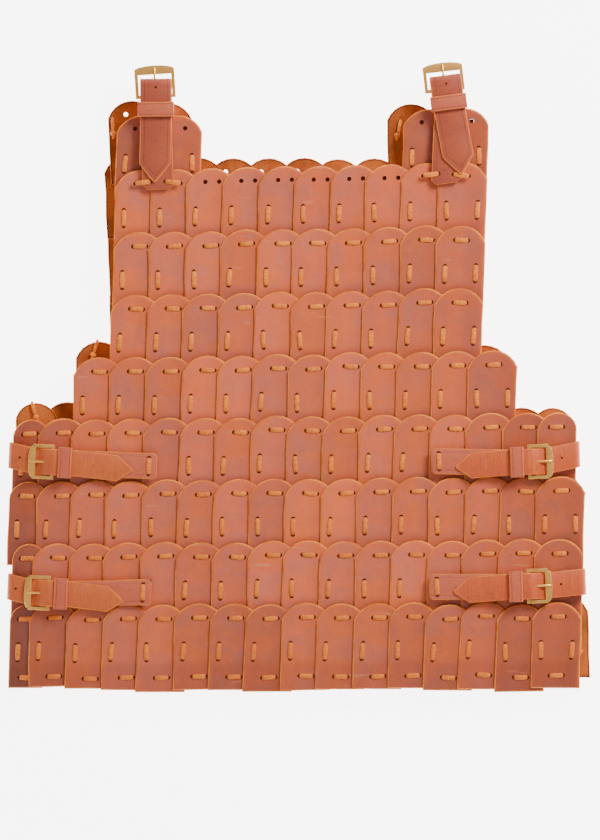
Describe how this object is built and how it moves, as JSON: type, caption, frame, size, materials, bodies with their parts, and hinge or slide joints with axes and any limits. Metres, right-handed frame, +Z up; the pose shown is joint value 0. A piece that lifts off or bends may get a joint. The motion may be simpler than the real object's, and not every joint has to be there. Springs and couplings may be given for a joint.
{
  "type": "lamellar armour",
  "caption": "Sleeveless vest of overlapping arched leather scales laced in rows, laid flat, with buckled shoulder and side straps.",
  "frame": {"origin": "centre of the bounding box at the surface that the armour lies on", "axes": "+Z up off the surface, +Y towards the neck, +X towards the right of the front panel as it is seen from above"},
  "size_m": [0.5612, 0.6002, 0.0409],
  "materials": {
    "scale_leather": "waxed vegetable-tanned leather, cognac red-brown, suede flesh side",
    "strap_leather": "smooth strap leather with a creased line along each edge",
    "brass": "cast, tumbled, slightly worn"
  },
  "bodies": {
    "root": {"back_row_1": "scale_leather", "back_row_2": "scale_leather", "back_row_3": "scale_leather", "back_row_4": "scale_leather", "back_row_5": "scale_leather", "back_row_6": "scale_leather", "back_row_7": "scale_leather", "back_row_8": "scale_leather", "back_shoulder_left": "scale_leather", "back_shoulder_right": "scale_leather", "front_row_1": "scale_leather", "front_row_2": "scale_leather", "front_row_3": "scale_leather", "front_row_4": "scale_leather", "front_row_5": "scale_leather", "front_row_6": "scale_leather", "front_row_7": "scale_leather", "front_row_8": "scale_leather", "front_shoulder_left": "scale_leather", "front_shoulder_right": "scale_leather", "shoulder_left_billet": "strap_leather", "shoulder_left_buckle_frame": "brass", "shoulder_left_buckle_prong": "brass", "shoulder_left_buckle_strap": "strap_leather", "shoulder_left_keeper": "strap_leather", "shoulder_right_billet": "strap_leather", "shoulder_right_buckle_frame": "brass", "shoulder_right_buckle_prong": "brass", "shoulder_right_buckle_strap": "strap_leather", "shoulder_right_keeper": "strap_leather", "side_lower_left_billet": "strap_leather", "side_lower_left_buckle_frame": "brass", "side_lower_left_buckle_prong": "brass", "side_lower_left_buckle_strap": "strap_leather", "side_lower_left_keeper": "strap_leather", "side_lower_right_billet": "strap_leather", "side_lower_right_buckle_frame": "brass", "side_lower_right_buckle_prong": "brass", "side_lower_right_buckle_strap": "strap_leather", "side_lower_right_keeper": "strap_leather", "side_upper_left_billet": "strap_leather", "side_upper_left_buckle_frame": "brass", "side_upper_left_buckle_prong": "brass", "side_upper_left_buckle_strap": "strap_leather", "side_upper_left_keeper": "strap_leather", "side_upper_right_billet": "strap_leather", "side_upper_right_buckle_frame": "brass", "side_upper_right_buckle_prong": "brass", "side_upper_right_buckle_strap": "strap_leather", "side_upper_right_keeper": "strap_leather"}
  },
  "joints": []
}
